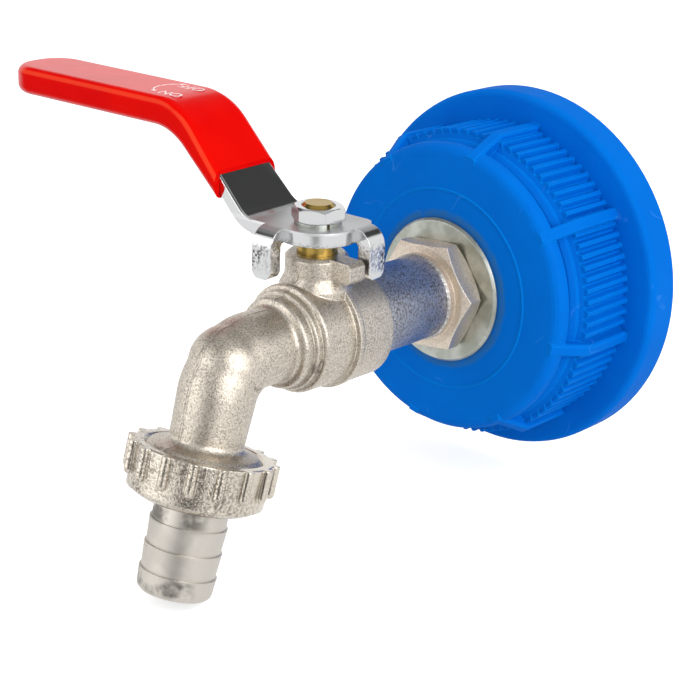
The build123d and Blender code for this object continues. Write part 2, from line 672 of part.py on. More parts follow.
def sleeve_blank():
    """The sleeve's skin with sharp edges: it thickens from the knee to the level grip."""
    tilt = math.radians(ARM_RISE)
    bend_x = KNEE_X + (GRIP_H - PLATE_MIDDLE) / math.tan(tilt)
    foot_x = PLATE_T / 2 * math.sin(tilt)
    foot_z = PLATE_T / 2 * math.cos(tilt)
    half_t = PLATE_T / 2 + SLEEVE_WALL
    corner = half_t * math.tan(tilt / 2)
    tip_x = -ARM_REACH - SLEEVE_WALL - PAST
    side = FilletPolyline(
        (-KNEE_X - foot_x, 0, PLATE_MIDDLE - foot_z), (-bend_x - corner, 0, GRIP_H - half_t),
        (tip_x, 0, GRIP_H - half_t), (tip_x, 0, GRIP_H + half_t), (-bend_x + corner, 0, GRIP_H + half_t),
        (-KNEE_X + foot_x, 0, PLATE_MIDDLE + foot_z),
        radius=[0, SLEEVE_UNDER_BEND_R, 0, 0, SLEEVE_TOP_BEND_R, 0], close=True,
    )
    strip = extrude(make_face(side), HUB_HALF_W + SLEEVE_WALL + PAST, both=True)
    room = 2 * GRIP_H
    hub_side = Pos(room / 2 - SLEEVE_START, 0, GRIP_H) * Box(room, room, room)
    return (strip & extrude(arm_plan(SLEEVE_WALL), room)) - hub_side


def lever_sleeve():
    """Dipped sleeve over the arm, open at a plane square to the hub."""
    blank = sleeve_blank()
    skin = fillet(long_edges(blank), SLEEVE_EDGE)
    return AT_LEVER * (skin - arm_bar(FACE_GAP))


def lever_lock_washer():
    washer = ring(STEM_THREAD_R + HOLE_GAP, LOCK_WASHER_R, PLATE_TOP, NUT_LOW)
    cut = Box(LOCK_WASHER_R, SPLIT_W, LOCK_WASHER_R)
    return AT_LEVER * (washer - Rot(0, 0, SPLIT_TURN) * Pos(LOCK_WASHER_R, 0, NUT_LOW) * cut)


def lever_nut():
    nut = hexagon(LEVER_NUT_FLATS, NUT_LOW, NUT_LOW + LEVER_NUT_T, 30 - LEVER_TURN)
    return AT_LEVER * (nut - rod(STEM_THREAD_R + THREAD_GAP, PLATE_TOP, STEM_TOP))


# Union nut, its seal and the hose tail


def nut_rib():
    """Round-backed grip rib at +X, from the nut's top edge down to a rounded end."""
    rib_r = NUT_RIB_W / 2
    end_s = NUT_TOP_S + NUT_RIB_LEN - rib_r
    end = [(rib_r * across, end_s + rib_r * along) for across, along in NUT_RIB_SLOPES]
    return Pos(NUT_RIB_R - rib_r, 0, 0) * turned((0, NUT_TOP_S), (rib_r, NUT_TOP_S), *end)


def union_nut():
    bore_r = UNION_THREAD_R + THREAD_GAP
    hole_r = TAIL_R + PASS_GAP
    wall = rod(NUT_R, NUT_TOP_S, NUT_LIP_S) & turned(
        (0, NUT_TOP_S), (NUT_R, NUT_TOP_S, -EDGE), (NUT_FOOT_R, NUT_BOTTOM_S), (0, NUT_BOTTOM_S)
    )
    foot = turned(
        (0, NUT_TOP_S), (NUT_FOOT_R, NUT_TOP_S), (NUT_FOOT_R, NUT_BOTTOM_S, NUT_FOOT_EDGE), (0, NUT_BOTTOM_S)
    )
    solid = wall + foot
    rib = nut_rib()
    for k in range(NUT_RIBS):
        solid += Rot(0, 0, NUT_RIB_TURN + k * 360 / NUT_RIBS) * rib
    bore = turned(
        (0, NUT_TOP_S - PAST), (bore_r + NUT_MOUTH_CHAMFER + PAST, NUT_TOP_S - PAST),
        (bore_r, NUT_TOP_S + NUT_MOUTH_CHAMFER), (bore_r, NUT_LIP_S), (hole_r, NUT_LIP_S),
        (hole_r, NUT_BOTTOM_S + PAST), (0, NUT_BOTTOM_S + PAST),
    )
    return AT_SPOUT * (solid - bore)


def union_seal():
    inner = TAIL_BORE_R + SOFT_EDGE
    return AT_SPOUT * ring(inner, TAIL_FLANGE_R, SPOUT_END_S + FACE_GAP, TAIL_TOP_S)


def hose_tail():
    outline = [(TAIL_BORE_R, TAIL_TOP_S), (TAIL_FLANGE_R, TAIL_TOP_S, -EDGE), (TAIL_FLANGE_R, TAIL_FLANGE_S)]
    outline += [(TAIL_R, TAIL_FLANGE_S), (TAIL_R, FIRST_BARB_S)]
    for k in range(1, BARBS):
        outline += [(BARB_R, FIRST_BARB_S + (k - 1) * BARB_PITCH), (TAIL_R, FIRST_BARB_S + k * BARB_PITCH)]
    outline += [
        (BARB_R, FIRST_BARB_S + (BARBS - 1) * BARB_PITCH), (TAIL_R, TAIL_END_S, TAIL_WALL * TAIL_END_SHARE),
        (TAIL_BORE_R, TAIL_END_S, -EDGE),
    ]
    return AT_SPOUT * turned(*outline)


PARTS = {
    "screw_cap": screw_cap,
    "cap_gasket": cap_gasket,
    "front_washer": front_washer,
    "inlet_connector": inlet_connector,
    "rear_seal": rear_seal,
    "rear_washer": rear_washer,
    "rear_nut": rear_nut,
    "valve_body": valve_body,
    "ball": ball,
    "inlet_seat": lambda: seat(1),
    "outlet_seat": lambda: seat(-1),
    "stem": stem,
    "thrust_washer": thrust_washer,
    "lower_o_ring": lambda: o_ring(0),
    "upper_o_ring": lambda: o_ring(1),
    "lever": lever,
    "lever_sleeve": lever_sleeve,
    "lever_lock_washer": lever_lock_washer,
    "lever_nut": lever_nut,
    "union_nut": union_nut,
    "union_seal": union_seal,
    "hose_tail": hose_tail,
}


def main():
    os.makedirs("parts", exist_ok=True)
    for name, build in PARTS.items():
        export_step(build(), f"parts/{name}.step")


if __name__ == "__main__":
    main()
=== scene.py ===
import json
import math

import bmesh
import bpy
from bpy.props import FloatProperty, FloatVectorProperty, PointerProperty
from mathutils import Matrix, Vector


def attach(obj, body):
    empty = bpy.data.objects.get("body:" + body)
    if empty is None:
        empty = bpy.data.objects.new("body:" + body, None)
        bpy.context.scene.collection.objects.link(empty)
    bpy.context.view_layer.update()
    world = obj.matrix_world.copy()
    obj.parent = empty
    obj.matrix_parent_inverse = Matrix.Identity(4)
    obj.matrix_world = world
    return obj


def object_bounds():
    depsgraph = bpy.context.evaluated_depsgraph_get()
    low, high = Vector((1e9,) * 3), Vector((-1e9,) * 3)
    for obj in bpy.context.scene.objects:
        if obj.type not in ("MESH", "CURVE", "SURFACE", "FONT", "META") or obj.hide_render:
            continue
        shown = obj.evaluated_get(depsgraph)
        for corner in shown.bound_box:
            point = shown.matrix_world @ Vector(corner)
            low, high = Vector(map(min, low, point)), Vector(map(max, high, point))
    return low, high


bl_info = {
    "name": "Canister tap looks",
    "version": (1, 0, 0),
    "blender": (4, 5, 0),
    "location": "View3D > Sidebar > Canister tap",
    "description": "Finishes, threads, lever marking and studio for the canister tap",
    "category": "Object",
}

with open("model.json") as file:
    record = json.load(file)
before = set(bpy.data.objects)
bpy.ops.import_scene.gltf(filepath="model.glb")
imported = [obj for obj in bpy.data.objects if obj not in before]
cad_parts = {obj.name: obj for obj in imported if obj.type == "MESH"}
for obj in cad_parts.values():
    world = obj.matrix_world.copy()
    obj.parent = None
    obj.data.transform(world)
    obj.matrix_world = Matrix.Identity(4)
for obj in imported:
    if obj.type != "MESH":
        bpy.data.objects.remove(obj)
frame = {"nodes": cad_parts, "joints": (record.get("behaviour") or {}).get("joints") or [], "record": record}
CAD_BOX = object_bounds()
NODES = frame["nodes"]
MM = 0.001
FINISH_TAG = "_finish"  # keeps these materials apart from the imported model's own

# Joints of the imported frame
JOINTS = {joint["name"]: joint for joint in frame["joints"]}
STEM = Vector(JOINTS["lever_turn"]["pos_m"])
SPOUT = Vector(JOINTS["nut_turn"]["pos_m"])
SPOUT_DIR = Vector(JOINTS["nut_turn"]["axis"]).normalized()
SPOUT_FRONT = Vector((0, SPOUT_DIR.z, -SPOUT_DIR.y))  # square to the spout, away from the cap

# Threads
CAP_AXIS = (0, 1, 0)
NECK_WALL_R = 34.6 * MM
NECK_START = (0, -16.6 * MM, 0)
NECK_WIDTHS = (0.62, 0.2)  # a ridge's foot and crest, as shares of the pitch
NECK_STEPS = 96
SPOUT_THREAD_R = 13.22 * MM
SPOUT_THREAD_START = SPOUT + SPOUT_DIR * (22.3 * MM)
SPOUT_THREAD_TURNS = 2.2
CONNECTOR_THREAD_R = 10.48 * MM
CONNECTOR_THREAD_START = (0, -20.6 * MM, 0)
CONNECTOR_THREAD_TURNS = 0.9
PIPE_WIDTHS = (0.9, 0.2)
RIDGE_STEPS = 64  # in one turn
RIDGE_FADE = 0.12  # of a turn, at each end
RIDGE_LEAST = 0.02  # share of the height that is left at the ends
RIDGE_SUNK = 0.05 * MM  # how deep a ridge's foot lies in its wall
RIDGE_SHARP = math.radians(35)

# Marking, in millimetres of the lever's own frame
LEVER_YAW = math.radians(4.0)  # turn of the shut lever's frame
SLEEVE_TOP = 49.6  # level of the grip's flat top
OPEN_WORD_AT = (-42.4, -4.2, SLEEVE_TOP)
SHUT_WORD_AT = (-43.5, 4.2, SLEEVE_TOP)
ARROW_CENTRE = (-44.6, 0.6)
ARROW_R = 6.0
ARROW_ANGLES = (232.0, 128.0)
ARROW_HEAD = 1.5
ARROW_STEPS = 28
FONT_SCALE = 1.38  # font size that gives a capital letter a height of 1
FONT_STEPS = 6

# Where the finishes change
GREASE_R = 19.2 * MM  # round the front washer
CAP_FACE_Y = -34.0 * MM  # the grease lies in front of this
PARTING_LINE_Z = 12.0 * MM  # the mould's line ends here
ELBOW_R = 13.0 * MM  # edges are softest inside this
NUT_FOOT = 31.5 * MM  # along the spout
# the nut's grain darkens away from this side, which is a painted dark reflection
NUT_AWAY_FROM_DARK_REFLECTION = (0.735, 0.677, 0.037)
HEXAGON_Y = -44.2 * MM  # the shank ends and the hexagon starts
TAIL_STAIN_AND_SHADOW_BANDS = ((35.6 * MM, 0.8 * MM, 2.2 * MM), (51.6 * MM, 0.9 * MM, 1.8 * MM))  # along, half and soft; the first band, next to the union nut, is painted shadow and the second a stain
TAB_Z = 19.5 * MM  # middle of the stop tabs
TAB_INNER_R = 8.6 * MM  # no pits inside this, round the stem
HUB_TOP_Z = 25.9 * MM
HUB_SMEAR = (-13.6, -1.4, 26.0)  # in the lever's own frame
LONG_EDGES = ((0.0, 0.853, 0.522), (0.391, 0.851, 0.351))  # ways that the grip's and the slope's edges face

# Second colours, laid over those of the settings
CAP_CLOUD = (0.0, 0.13, 0.57, 1)
CAP_SCRATCH = (0.1, 0.36, 0.86, 1)
CAP_SPECK = (0.3, 0.52, 0.92, 1)
GREASE = (0.03, 0.13, 0.3, 1)
SLEEVE_CLOUD = (0.7, 0.002, 0.0, 1)
# painted highlight: a lighter red along the sleeve's long rounded edges
SLEEVE_PAINTED_HIGHLIGHT = (0.98, 0.13, 0.05, 1)
SLEEVE_SPECK = (0.95, 0.45, 0.4, 1)
CAST_EDGE = (0.84, 0.8, 0.74, 1)
CAST_SCRATCH = (0.12, 0.08, 0.06, 1)
CAST_SPECK = (0.16, 0.08, 0.05, 1)
HEXAGON = (0.76, 0.67, 0.57, 1)
CONNECTOR_EDGE = (0.86, 0.82, 0.77, 1)
CONNECTOR_SCRATCH = (0.25, 0.2, 0.15, 1)
TURNED_LINE = (0.48, 0.45, 0.41, 1)
TURNED_SCRATCH = (0.3, 0.27, 0.24, 1)
# dark colour of the tail's stains and of the painted shadow under the union nut
TAIL_STAIN_AND_SHADOW = (0.06, 0.055, 0.045, 1)
CHROME_PIT = (0.06, 0.05, 0.05, 1)
CHROME_SMEAR = (0.5, 0.12, 0.12, 1)
ZINC_STAIN = (0.27, 0.285, 0.24, 1)
ZINC_EDGE = (0.8, 0.82, 0.8, 1)
BRASS_BAND = (0.36, 0.22, 0.06, 1)
RUBBER_SMUDGE = (0.05, 0.05, 0.048, 1)
SEAT_SMUDGE = (0.66, 0.65, 0.6, 1)
BALL_SCRATCH = (0.45, 0.45, 0.44, 1)
MARK_WORN = (0.85, 0.5, 0.48, 1)

# Studio
MIDDLE = (0.0, -0.06, 0.0)
KEY_AT = (0.85, -0.3, 0.45)
FILL_AT = (-0.4, -0.95, 0.35)
TOP_AT = (-0.1, 0.3, 1.0)
LAMP_SIZE = (0.9, 0.9)
DARK_SIDE = (0.613, -0.785, 0.087)  # way of the room's dark patch
FLOOR_HALF = 6.0
FLOOR_DROP = 1.0 * MM
FLOOR_GREY = (0.8, 0.8, 0.8, 1)
FLOOR_GLOW = 0.6
CAMERA_AT = (0.25543, -0.35274, 0.13426)
CAMERA_RIGHT = (0.73465, 0.67743, 0.037)
CAMERA_UP = (-0.26213, 0.23313, 0.93644)
CAMERA_BACK = (0.62575, -0.69766, 0.34885)
SENSOR_WIDTH = 36.0
CLIP_START = 0.01


def lever_point(x, y, z):
    """Point of the lever's own frame, in millimetres, as a place in the row frame."""
    turn = Matrix.Rotation(LEVER_YAW, 4, "Z")
    return STEM + turn @ (Vector((x, y, z)) * MM)


# Settings


class TapSizes(bpy.types.PropertyGroup):
    """Sizes of the threads and of the lever's marking."""

    neck_pitch: FloatProperty(
        name="Neck thread pitch", description="Rise of the cap's inner thread in one turn",
        default=5.0 * MM, unit="LENGTH")
    neck_turns: FloatProperty(
        name="Neck thread turns", description="Turns of the cap's inner thread", default=2.6)
    neck_height: FloatProperty(
        name="Neck thread height", description="How far the cap's inner thread stands out of the wall",
        default=1.3 * MM, unit="LENGTH")
    pipe_pitch: FloatProperty(
        name="Pipe thread pitch", description="Rise of the pipe threads in one turn", default=1.814 * MM,
        unit="LENGTH")
    pipe_height: FloatProperty(
        name="Pipe thread height", description="How far the pipe threads stand out", default=0.35 * MM,
        unit="LENGTH")
    letter_height: FloatProperty(
        name="Letter height", description="Height of the state words on the sleeve",
        default=3.1 * MM, unit="LENGTH")
    mark_line: FloatProperty(
        name="Mark line", description="Width of the arrow's line", default=0.42 * MM, unit="LENGTH")
    mark_height: FloatProperty(
        name="Mark height", description="How far the marking stands on the sleeve",
        default=0.04 * MM, unit="LENGTH")


def colour(name, description, value):
    """Colour setting with its default."""
    return FloatVectorProperty(name=name, description=description, default=value, size=4, min=0, max=1,
                               subtype="COLOR")


class TapColours(bpy.types.PropertyGroup):
    """Colours of the tap's finishes."""

    cap: colour("Cap", "Moulded plastic of the screw cap", (0.0, 0.142, 0.6, 1))
    # painted highlight: this lighter blue on the cap's edges stands in for their highlights
    cap_edge_highlight: colour("Cap edges", "Thin edges of the cap, which let light through", (0.0, 0.28, 0.86, 1))
    sleeve: colour("Sleeve", "Dipped sleeve of the lever", (0.62, 0.0, 0.0, 1))
    cast: colour("Cast plating", "Nickel plate on the cast pieces", (0.71, 0.645, 0.555, 1))
    cast_dark: colour("Cast pores", "Pores and hollows of the cast plate", (0.1, 0.082, 0.062, 1))
    turned: colour("Turned plating", "Nickel plate on the turned pieces", (0.65, 0.61, 0.555, 1))
    shank: colour("Shank plating", "Bright nickel on the connector's shank", (0.62, 0.605, 0.58, 1))
    chrome: colour("Chrome", "Bright plate of the lever, its nut and the ball", (0.7, 0.705, 0.71, 1))
    zinc: colour("Zinc", "Zinc plate of the washers", (0.5, 0.525, 0.48, 1))
    brass: colour("Brass", "Bare brass of the stem", (0.5, 0.35, 0.09, 1))
    rubber: colour("Rubber", "Seals and gasket", (0.018, 0.018, 0.018, 1))
    seat: colour("Seats", "White plastic of the ball's seats", (0.8, 0.8, 0.78, 1))
    mark: colour("Marking", "Print on the sleeve", (0.95, 0.88, 0.87, 1))


class TapSurfaces(bpy.types.PropertyGroup):
    """Sizes of the detail in the finishes."""

    body_grain: FloatProperty(
        name="Body grain", description="Size of the grain on the valve body", default=0.36 * MM,
        unit="LENGTH")
    nut_grain: FloatProperty(
        name="Nut grain", description="Size of the grain on the union nut", default=0.62 * MM,
        unit="LENGTH")
    grain_depth: FloatProperty(
        name="Grain depth", description="Depth of the cast grain", default=0.12 * MM, unit="LENGTH")
    turning_pitch: FloatProperty(
        name="Turning pitch", description="Distance between lathe lines", default=0.16 * MM, unit="LENGTH")


class TapStudio(bpy.types.PropertyGroup):
    """Light and lens."""

    key: FloatProperty(name="Key light", description="Power of the key light", default=7.5, unit="POWER")
    fill: FloatProperty(name="Fill light", description="Power of the fill light", default=2.6, unit="POWER")
    top: FloatProperty(name="Top light", description="Power of the overhead light", default=3.0,
                       unit="POWER")
    world: FloatProperty(name="Room light", description="Strength of the white room", default=0.62)
    lens: FloatProperty(name="Lens", description="Focal length on a 36 mm wide sensor", default=87.34, min=1)


# Node trees


class Tree:
    """A node tree with short ways to add to it. Most of them give an output socket."""

    def __init__(self, tree):
        self.tree = tree

    def put(self, socket, value):
        """Links an output to a socket, or sets the socket's own value."""
        if isinstance(value, bpy.types.NodeSocket):
            self.tree.links.new(value, socket)
        elif hasattr(socket.default_value, "__len__") and not hasattr(value, "__len__"):
            socket.default_value = [value] * len(socket.default_value)
        else:
            socket.default_value = value

    def add(self, kind, settings=None, **inputs):
        """Adds a node. Inputs are named by their socket, spaces as underscores, or by place as in_0."""
        node = self.tree.nodes.new(kind)
        for name, value in (settings or {}).items():
            setattr(node, name, value)
        for name, value in inputs.items():
            key = int(name[3:]) if name.startswith("in_") else name.replace("_", " ")
            self.put(node.inputs[key], value)
        return node

    def maths(self, operation, a, b=0.0, clamp=False):
        settings = {"operation": operation, "use_clamp": clamp}
        return self.add("ShaderNodeMath", settings, in_0=a, in_1=b).outputs[0]

    def plus(self, a, b, clamp=False):
        return self.maths("ADD", a, b, clamp)

    def minus(self, a, b):
        return self.maths("SUBTRACT", a, b)

    def times(self, a, b):
        return self.maths("MULTIPLY", a, b)

    def over(self, a, b):
        return self.maths("DIVIDE", a, b)

    def most(self, a, b):
        return self.maths("MAXIMUM", a, b)

    def total(self, start, *terms):
        """A start with shares of other values added. Each term is a value and its share."""
        added = self.times(*terms[0])
        for term in terms[1:]:
            added = self.plus(added, self.times(*term))
        return self.plus(added, start)

    def vector_maths(self, operation, a, **inputs):
        """Outputs of an operation on vectors."""
        return self.add("ShaderNodeVectorMath", {"operation": operation}, in_0=a, **inputs).outputs

    def dot(self, a, b):
        return self.vector_maths("DOT_PRODUCT", a, in_1=b)["Value"]

    def ramp(self, value, low, high, to_low=0.0, to_high=1.0):
        """Smooth step of a value between two ends."""
        settings = {"interpolation_type": "SMOOTHSTEP", "clamp": True}
        return self.add("ShaderNodeMapRange", settings, Value=value, From_Min=low, From_Max=high,
                        To_Min=to_low, To_Max=to_high).outputs["Result"]

    def mix(self, share, a, b):
        """Colour a with a share of colour b."""
        settings = {"data_type": "RGBA", "blend_type": "MIX"}
        return self.add("ShaderNodeMix", settings, in_0=share, in_6=a, in_7=b).outputs[2]

    def cover(self, base, over, mask, share):
        """Base colour with another one over it, to a share, where a mask is 1."""
        return self.mix(self.times(mask, share), base, over)

    def noise(self, vector, scale, detail=2.0, roughness=0.5):
        """Noise with a scale in cells per metre."""
        return self.add("ShaderNodeTexNoise", Vector=vector, Scale=scale, Detail=detail,
                        Roughness=roughness).outputs["Fac"]

    def dots(self, vector, scale, kept, radius):
        """Masks of a round dot in each cell and of the cells that are kept, from the ends of their ramps."""
        cells = self.add("ShaderNodeTexVoronoi", Vector=vector, Scale=scale).outputs
        return self.ramp(cells["Distance"], *radius, 1.0, 0.0), self.ramp(cells["Color"], *kept)

    def split(self, vector):
        """Parts of a vector along X, Y and Z."""
        return self.add("ShaderNodeSeparateXYZ", Vector=vector).outputs

    def band(self, value, centre, half, soft):
        """Mask of 1 where a value is within half of the centre, fading over soft."""
        off = self.maths("ABSOLUTE", self.minus(value, centre))
        return self.ramp(off, half, half + soft, 1.0, 0.0)

    def near(self, vector, spot, radius, soft):
        """Mask of 1 within a radius of a spot, fading over soft."""
        gap = self.vector_maths("DISTANCE", vector, in_1=spot)["Value"]
        return self.ramp(gap, radius, radius + soft, 1.0, 0.0)

    def along(self, vector, origin, axis):
        """How far a place is along an axis from its origin."""
        return self.dot(self.vector_maths("SUBTRACT", vector, in_1=origin)[0], axis)

    def place(self, group, **inputs):
        """Outputs of a group placed in the tree."""
        return self.add("ShaderNodeGroup", {"node_tree": group}, **inputs).outputs


def new_group(name, inputs, outputs, fill):
    """Shader node group with its sockets, built once. fill(tree, source) gives its outputs by name."""
    made = bpy.data.node_groups.get(name)
    if made:
        return made
    made = bpy.data.node_groups.new(name, "ShaderNodeTree")
    for label, kind, default in inputs:
        socket = made.interface.new_socket(label, in_out="INPUT", socket_type="NodeSocket" + kind)
        if default is not None:
            socket.default_value = default
    for label, kind in outputs:
        made.interface.new_socket(label, in_out="OUTPUT", socket_type="NodeSocket" + kind)
    source = made.nodes.new("NodeGroupInput").outputs
    target = made.nodes.new("NodeGroupOutput").inputs
    for label, socket in fill(Tree(made), source).items():
        made.links.new(socket, target[label])
    return made


def grain_group():
    """Blasted or cast grain: rounded speckle, dark hollows between, scattered pores, and their height."""

    def fill(tree, source):
        where = source["Vector"]
        per_size = tree.over(1.0, source["Size"])
        fine = tree.noise(where, per_size, 3.0, 0.62)
        coarse = tree.noise(where, tree.times(per_size, 0.3))
        patches = tree.noise(where, tree.times(per_size, 0.06))
        dots, kept = tree.dots(where, tree.times(per_size, 0.34), (0.8, 0.88), (0.1, 0.24))
        pore = tree.times(dots, kept)
        speckle = tree.plus(tree.times(fine, 0.9), tree.times(coarse, 0.1))
        amount = tree.ramp(patches, 0.34, 0.66, 0.8, 1.0)
        dark = tree.times(tree.ramp(speckle, 0.36, 0.58, 1.0, 0.0), amount)
        height = tree.minus(speckle, tree.times(pore, 0.5))
        return {"Dark": tree.most(dark, pore), "Height": height, "Patches": patches}

    return new_group("Grain", [("Vector", "Vector", None), ("Size", "Float", 0.75 * MM)],
                     [("Dark", "Float"), ("Height", "Float"), ("Patches", "Float")], fill)


def marks_group():
    """Handling marks: thin scratches, dull smudges and small specks."""

    def fill(tree, source):
        where, size = source["Vector"], source["Size"]
        stretched = tree.vector_maths("MULTIPLY", where, in_1=(1.0, 0.3, 0.6))[0]
        wave = tree.noise(stretched, tree.over(0.1, size), 1.0, 0.4)
        lines = tree.maths("ABSOLUTE", tree.minus(wave, 0.5))
        breaks = tree.noise(where, tree.over(0.16, size))
        scratch = tree.times(tree.ramp(lines, 0.002, 0.006, 1.0, 0.0), tree.ramp(breaks, 0.58, 0.66))
        smudge = tree.ramp(tree.noise(where, tree.over(0.06, size), 4.0, 0.6), 0.48, 0.7)
        dots, kept = tree.dots(where, tree.over(0.3, size), (0.86, 0.9), (0.05, 0.1))
        return {"Scratches": scratch, "Smudges": smudge, "Specks": tree.times(dots, kept)}

    return new_group("Handling marks", [("Vector", "Vector", None), ("Size", "Float", 1.0 * MM)],
                     [("Scratches", "Float"), ("Smudges", "Float"), ("Specks", "Float")], fill)


def edges_group():
    """Edges softened to a radius, with a mask of where they are."""

    def fill(tree, source):
        soft = tree.add("ShaderNodeBevel", {"samples": 6}, Radius=source["Radius"]).outputs["Normal"]
        flat = tree.add("ShaderNodeNewGeometry").outputs["Normal"]
        return {"Normal": soft, "Edge": tree.ramp(tree.dot(soft, flat), 0.995, 0.88)}

    return new_group("Soft edges", [("Radius", "Float", 0.3 * MM)],
                     [("Normal", "Vector"), ("Edge", "Float")], fill)


def long_edge_group():
    """Mask of the lever's rounded upper edges, along its grip and its slope, from the way the skin faces. It
    places the sleeve's painted highlight.
    """

    def fill(tree, source):
        facing = tree.split(source["Normal"])
        side = tree.maths("ABSOLUTE", facing["Y"])
        either = tree.add("ShaderNodeCombineXYZ", X=facing["X"], Y=side, Z=facing["Z"]).outputs[0]
        masks = [tree.ramp(tree.dot(either, way), 0.945, 0.992) for way in LONG_EDGES]
        return {"Edge": tree.most(*masks)}

    return new_group("Long edges", [("Normal", "Vector", None)], [("Edge", "Float")], fill)


def turning_group():
    """Fine lines that a lathe leaves round an axis, from the distance along it."""

    def fill(tree, source):
        along = tree.dot(source["Vector"], source["Axis"])
        stretched = tree.add("ShaderNodeCombineXYZ", X=tree.over(along, source["Pitch"])).outputs[0]
        return {"Lines": tree.noise(stretched, 1.0, 3.0, 0.7), "Bands": tree.noise(stretched, 0.12, 1.0)}

    inputs = [("Vector", "Vector", None), ("Axis", "Vector", (0, 1, 0)), ("Pitch", "Float", 0.2 * MM)]
    return new_group("Turning lines", inputs, [("Lines", "Float"), ("Bands", "Float")], fill)


class Finish(Tree):
    """A material with one Principled shader, object coordinates and short ways to finish it."""

    def __init__(self, name):
        self.material = bpy.data.materials.new(name + FINISH_TAG)
        self.material.use_nodes = True
        super().__init__(self.material.node_tree)
        self.shader = self.tree.nodes["Principled BSDF"]
        place = self.add("ShaderNodeTexCoord").outputs
        self.where, self.facing = place["Object"], place["Normal"]

    def set(self, **inputs):
        """Sets or links the shader's inputs."""
        for name, value in inputs.items():
            self.put(self.shader.inputs[name.replace("_", " ")], value)

    def bump(self, height, distance, normal=None):
        """Bump of a height in metres, on top of a normal if there is one."""
        node = self.add("ShaderNodeBump", Height=height, Distance=distance, Strength=1.0)
        if normal:
            self.put(node.inputs["Normal"], normal)
        return node.outputs["Normal"]

    def marks(self, size):
        return self.place(marks_group(), Vector=self.where, Size=size)

    def edges(self, radius):
        return self.place(edges_group(), Radius=radius)

    def grain(self, size):
        return self.place(grain_group(), Vector=self.where, Size=size)

    def turning(self, axis, pitch):
        return self.place(turning_group(), Vector=self.where, Axis=axis, Pitch=pitch)


# Finishes, each built from the scene's settings


def cap_plastic(scene):
    """Blue moulded plastic: pale edges that are a painted highlight, a few scratches, and grease round the
    washer.
    """
    colours = scene.tap_colours
    made = Finish("cap_plastic")
    marks, edges = made.marks(1.1 * MM), made.edges(0.45 * MM)
    clouds = made.noise(made.where, 60.0, 3.0, 0.6)
    fine = made.noise(made.where, 2200.0, 2.0, 0.6)
    place = made.split(made.where)
    flat = made.add("ShaderNodeCombineXYZ", X=place["X"], Z=place["Z"]).outputs[0]
    smear = made.band(made.vector_maths("LENGTH", flat)["Value"], GREASE_R, 0.5 * MM, 1.3 * MM)
    smear = made.times(smear, made.ramp(made.noise(made.where, 260.0, 3.0, 0.6), 0.3, 0.62, 0.25, 0.75))
    smear = made.times(smear, made.ramp(place["Y"], CAP_FACE_Y, CAP_FACE_Y + 1.0 * MM, 1.0, 0.0))
    base = made.mix(made.ramp(clouds, 0.3, 0.7), CAP_CLOUD, colours.cap)
    # painted highlight on the cap's edges
    base = made.cover(base, colours.cap_edge_highlight, edges["Edge"], 0.6)
    base = made.cover(base, CAP_SCRATCH, marks["Scratches"], 0.16)
    base = made.cover(base, CAP_SPECK, marks["Specks"], 0.45)
    base = made.mix(smear, base, GREASE)
    rough = made.minus(made.total(0.5, (fine, 0.1), (marks["Smudges"], 0.08)), made.times(smear, 0.2))
    height = made.minus(fine, made.times(marks["Scratches"], 1.2))
    made.set(Base_Color=base, Roughness=rough, Normal=made.bump(height, 0.02 * MM, edges["Normal"]))
    made.set(Specular_IOR_Level=0.02)
    return made.material


def sleeve_vinyl(scene):
    """Dipped red vinyl: a painted highlight on its long edges, with a sheen that grows towards its sides."""
    made = Finish("sleeve_vinyl")
    marks = made.marks(1.3 * MM)
    ripple = made.noise(made.where, 260.0)
    fine = made.noise(made.where, 2400.0, 2.0, 0.6)
    clouds = made.noise(made.where, 45.0)
    # mask of the painted highlight along the sleeve's long rounded edges
    painted_highlight = made.place(long_edge_group(), Normal=made.facing)["Edge"]
    base = made.mix(made.ramp(clouds, 0.3, 0.7), scene.tap_colours.sleeve, SLEEVE_CLOUD)
    base = made.cover(base, SLEEVE_PAINTED_HIGHLIGHT, painted_highlight, 0.3)
    base = made.cover(base, SLEEVE_SPECK, marks["Specks"], 0.7)
    rough = made.total(0.27, (made.plus(ripple, fine), 0.06))
    height = made.plus(ripple, made.times(fine, 0.12))
    made.set(Base_Color=base, Roughness=rough, Normal=made.bump(height, 0.04 * MM))
    sideways = made.add("ShaderNodeLayerWeight", Blend=0.5).outputs["Facing"]
    made.set(Specular_IOR_Level=0.03, Coat_Roughness=0.16, Coat_IOR=1.8)
    made.set(Coat_Weight=made.ramp(sideways, 0.44, 0.66, 0.0, 0.58))
    return made.material


def cast_finish(name, scene, grain_size, depth, gloss, shade, soft=None):
    """Blasted casting under nickel plate. shade(made, grain) gives its darkening and its height.

    gloss is its lowest roughness, and soft(made) gives the radius that edges are softened to.
    """
    colours = scene.tap_colours
    made = Finish(name)
    grain, marks = made.grain(grain_size), made.marks(1.2 * MM)
    edges = made.edges(soft(made) if soft else 0.5 * MM)
    dark, height = shade(made, grain)
    base = made.mix(dark, colours.cast, colours.cast_dark)
    base = made.cover(base, CAST_EDGE, edges["Edge"], 0.5)
    base = made.cover(base, CAST_SCRATCH, marks["Scratches"], 0.5)
    base = made.cover(base, CAST_SPECK, marks["Specks"], 0.7)
    made.set(Base_Color=base, Metallic=1.0, Roughness=made.total(gloss, (dark, 0.15)),
             Normal=made.bump(height, depth, edges["Normal"]))
    return made.material


